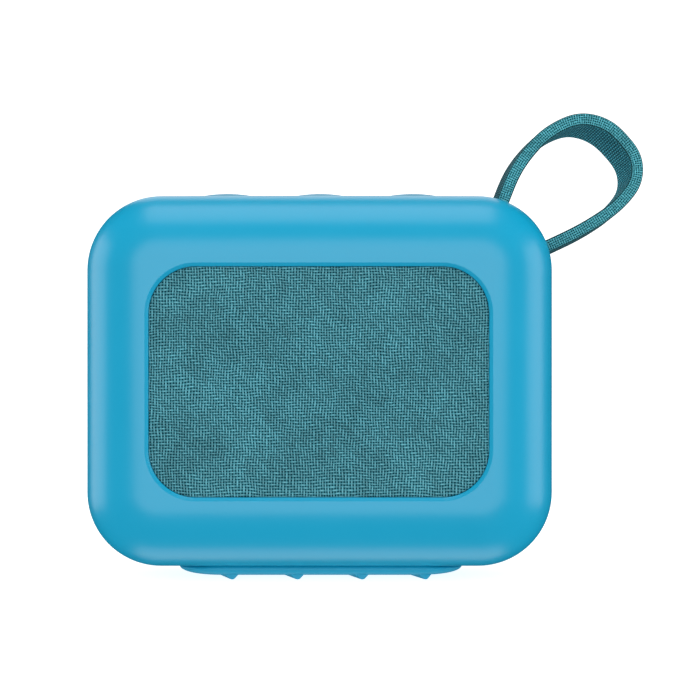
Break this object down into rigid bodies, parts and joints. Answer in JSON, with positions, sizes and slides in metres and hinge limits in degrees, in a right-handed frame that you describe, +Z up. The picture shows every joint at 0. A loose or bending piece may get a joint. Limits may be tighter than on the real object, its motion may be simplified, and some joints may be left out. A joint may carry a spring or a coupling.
{
  "type": "portable bluetooth speaker",
  "caption": "Compact rounded-box wireless speaker with a cloth front grille, domed top buttons, a ribbed rubber foot and a woven carry loop at one corner.",
  "frame": {"origin": "centre of the casing in plan, on the plane that the four grip ribs under the foot stand on", "axes": "+X to the right seen from the front, +Y to the back, +Z up; the grille faces -Y"},
  "size_m": [0.1133, 0.0424, 0.095],
  "materials": {
    "casing_blue": "satin, softly moulded",
    "button_blue": "satin",
    "blue_rubber": "matt",
    "grille_cloth": "woven, herringbone",
    "strap_webbing": "woven, herringbone",
    "black_metal": "matt black",
    "black_steel": "black oxide",
    "zinc_steel": "zinc plated",
    "ferrite": "ground",
    "copper": "lacquered",
    "black_plastic": "moulded",
    "white_plastic": "moulded",
    "clear_plastic": "diffusing",
    "switch_black": "moulded",
    "green_board": "solder mask",
    "cone_paper": "pressed pulp",
    "spider_cloth": "resin-dipped",
    "black_rubber": "moulded",
    "black_foam": "open-cell foam",
    "battery_film": "shrink film",
    "red_lead": "insulated",
    "black_lead": "insulated"
  },
  "bodies": {
    "casing": {"amplifier_chip": "switch_black", "antenna": "copper", "baffle": "black_plastic", "baffle_screws": "zinc_steel", "battery_cell": "battery_film", "battery_foam": "black_foam", "battery_leads": "red_lead", "battery_tray": "black_plastic", "bluetooth_chip": "switch_black", "board_components": "switch_black", "board_screws": "zinc_steel", "button_board": "green_board", "casing_screws": "black_steel", "driver_basket": "black_metal", "driver_gasket": "black_foam", "driver_magnet": "ferrite", "driver_screws": "zinc_steel", "driver_spider": "spider_cloth", "driver_surround": "black_rubber", "driver_top_plate": "zinc_steel", "driver_yoke": "zinc_steel", "foot_pad": "blue_rubber", "front_shell": "casing_blue", "grille_cloth": "grille_cloth", "grille_frame": "black_plastic", "grille_mesh": "black_metal", "lead_connectors": "white_plastic", "light_pipe": "clear_plastic", "main_board": "green_board", "microphone": "zinc_steel", "port_cover_anchor": "blue_rubber", "power_switch": "switch_black", "radiator_frame": "black_plastic", "radiator_surround": "black_rubber", "rear_shell": "casing_blue", "shell_seal": "black_rubber", "speaker_leads": "black_lead", "status_led": "white_plastic", "strap_retainer": "black_plastic", "strap_root": "strap_webbing", "strap_screw": "zinc_steel", "top_switches": "switch_black", "usb_port": "zinc_steel"},
    "driver_cone_unit": {"driver_cone": "cone_paper", "driver_dust_cap": "cone_paper", "driver_voice_coil": "copper"},
    "radiator_unit": {"radiator_plate": "black_plastic", "radiator_weight": "zinc_steel"},
    "volume_down_key": {"volume_down_button": "button_blue", "volume_down_plunger": "white_plastic"},
    "play_key": {"play_button": "button_blue", "play_plunger": "white_plastic"},
    "volume_up_key": {"volume_up_button": "button_blue", "volume_up_plunger": "white_plastic"},
    "power_key": {"power_button": "blue_rubber", "power_plunger": "white_plastic"},
    "carry_strap": {"strap_loop": "strap_webbing"},
    "cover_flap": {"port_cover": "blue_rubber"}
  },
  "joints": [
    {"name": "driver_travel", "type": "slide", "parent": "casing", "child": "driver_cone_unit", "axis": [0, -1, 0], "range_m": [-0.0015, 0.0015], "stiffness_N_per_m": 2000, "deforming": ["driver_surround", "driver_spider"]},
    {"name": "radiator_travel", "type": "slide", "parent": "casing", "child": "radiator_unit", "axis": [0, -1, 0], "range_m": [-0.0015, 0.0015], "stiffness_N_per_m": 800, "deforming": ["radiator_surround"]},
    {"name": "volume_down_press", "type": "slide", "parent": "casing", "child": "volume_down_key", "axis": [0, 0, -1], "range_m": [0, 0.0006], "stiffness_N_per_m": 2500},
    {"name": "play_press", "type": "slide", "parent": "casing", "child": "play_key", "axis": [0, 0, -1], "range_m": [0, 0.0006], "stiffness_N_per_m": 2500},
    {"name": "volume_up_press", "type": "slide", "parent": "casing", "child": "volume_up_key", "axis": [0, 0, -1], "range_m": [0, 0.0006], "stiffness_N_per_m": 2500},
    {"name": "power_press", "type": "slide", "parent": "casing", "child": "power_key", "axis": [0, -1, 0], "range_m": [0, 0.0005], "stiffness_N_per_m": 2500},
    {"name": "strap_swing", "type": "hinge", "parent": "casing", "child": "carry_strap", "pos_m": [0.04199, 0, 0.07235], "axis": [0.7091, 0, -0.7052], "range_deg": [-35, 35], "stiffness_Nm_per_rad": 0.012},
    {"name": "port_cover_hinge", "type": "hinge", "parent": "casing", "child": "cover_flap", "pos_m": [0.026, 0.0209, 0.02375], "axis": [-1, 0, 0], "range_deg": [0, 110]}
  ]
}
